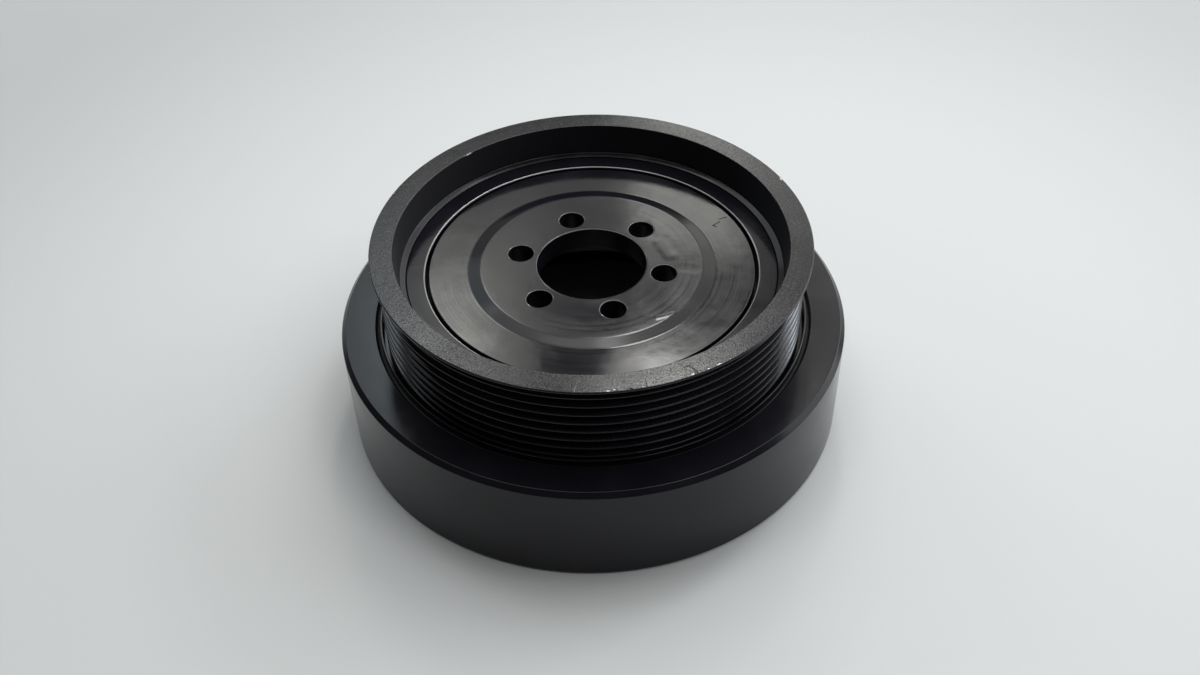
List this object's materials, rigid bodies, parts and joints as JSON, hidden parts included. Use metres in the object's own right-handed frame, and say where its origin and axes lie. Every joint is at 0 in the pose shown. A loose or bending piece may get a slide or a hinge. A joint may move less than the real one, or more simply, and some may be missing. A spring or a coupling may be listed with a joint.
{
  "type": "harmonic balancer",
  "caption": "Black crankshaft damper: heavy ring, grooved belt pulley and recessed hub plate with a pilot bore and a circle of bolt holes.",
  "frame": {"origin": "centre of the heavy ring's back face, on the axis of turning", "axes": "+Z along the axis of turning, from the back of the heavy ring towards the belt pulley's rim face; +X and +Y lie in the back face"},
  "size_m": [0.171, 0.171, 0.0675],
  "materials": {
    "ring_paint": "semi-gloss",
    "pulley_paint": "semi-gloss",
    "hub_paint": "gloss",
    "channel_paint": "gloss",
    "rubber": "matte",
    "bearing_plastic": "matte"
  },
  "bodies": {
    "root": {"inertia_ring": "ring_paint", "belt_pulley": "pulley_paint", "hub": "hub_paint", "coupling_channel": "channel_paint", "damper_rubber": "rubber", "coupling_rubber": "rubber", "slide_bearing": "bearing_plastic", "thrust_washer": "bearing_plastic"}
  },
  "joints": []
}
